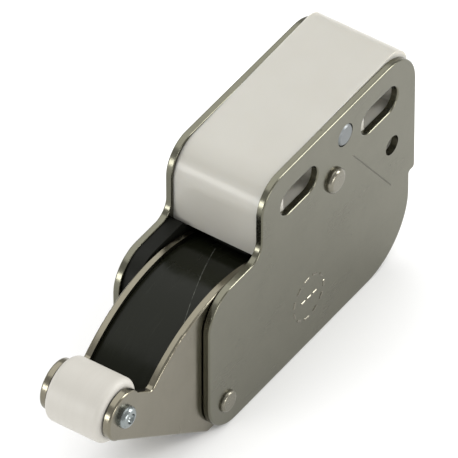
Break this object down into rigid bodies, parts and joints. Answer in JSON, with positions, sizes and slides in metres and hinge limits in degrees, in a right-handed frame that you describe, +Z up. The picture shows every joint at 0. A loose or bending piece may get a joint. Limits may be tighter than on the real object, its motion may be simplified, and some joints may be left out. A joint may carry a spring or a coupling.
{
  "type": "roller catch",
  "caption": "Spring-loaded roller catch: slotted steel cheek plates around a plastic core, with a sprung swinging lever that carries a roller at its tip.",
  "frame": {"origin": "midway between the two screw slots, on the outer face of the cheek that lies on the wall", "axes": "+X rearward, away from the roller and along the row of slots; +Y into the wall, through the screws; +Z up, from the lever's pivot side towards the slots"},
  "size_m": [0.0697, 0.0159, 0.0352],
  "materials": {
    "cheek_steel": "satin nickel plate",
    "lever_steel": "satin nickel plate",
    "core_plastic": "glossy moulded, warm white",
    "insert_plastic": "glossy moulded, black",
    "liner_plastic": "matt black",
    "roller_plastic": "satin moulded, off-white",
    "washer_plastic": "satin black",
    "rivet_steel": "satin nickel plate",
    "axle_steel": "bluish zinc plate",
    "peg_steel": "satin",
    "sleeve_steel": "plain drawn steel",
    "spring_steel": "drawn wire",
    "stop_rubber": "matt black"
  },
  "bodies": {
    "housing": {"near_cheek_plate": "cheek_steel", "far_cheek_plate": "cheek_steel", "housing_core": "core_plastic", "pivot_rivet": "rivet_steel", "pivot_sleeve": "sleeve_steel", "core_rivet": "rivet_steel", "locating_peg": "peg_steel", "wear_liner": "liner_plastic", "extended_stop_pad": "stop_rubber", "retracted_stop_pad": "stop_rubber", "torsion_spring": "spring_steel"},
    "lever": {"lever_channel": "lever_steel", "lever_insert": "insert_plastic", "front_insert_rivet": "sleeve_steel", "rear_insert_rivet": "sleeve_steel", "roller_axle": "axle_steel", "roller_bush": "sleeve_steel", "near_roller_washer": "washer_plastic", "far_roller_washer": "washer_plastic"},
    "roller": {"roller": "roller_plastic"}
  },
  "joints": [
    {"name": "lever_swing", "type": "hinge", "parent": "housing", "child": "lever", "pos_m": [-0.0258, -0.0076, -0.0245], "axis": [0, 1, 0], "range_deg": [0, 50], "stiffness_Nm_per_rad": 0.15, "springref_deg": -51.57, "deforming": ["torsion_spring"]},
    {"name": "roller_spin", "type": "hinge", "parent": "lever", "child": "roller", "pos_m": [-0.0473, -0.0086, -0.01072], "axis": [0, 1, 0], "continuous": true}
  ]
}
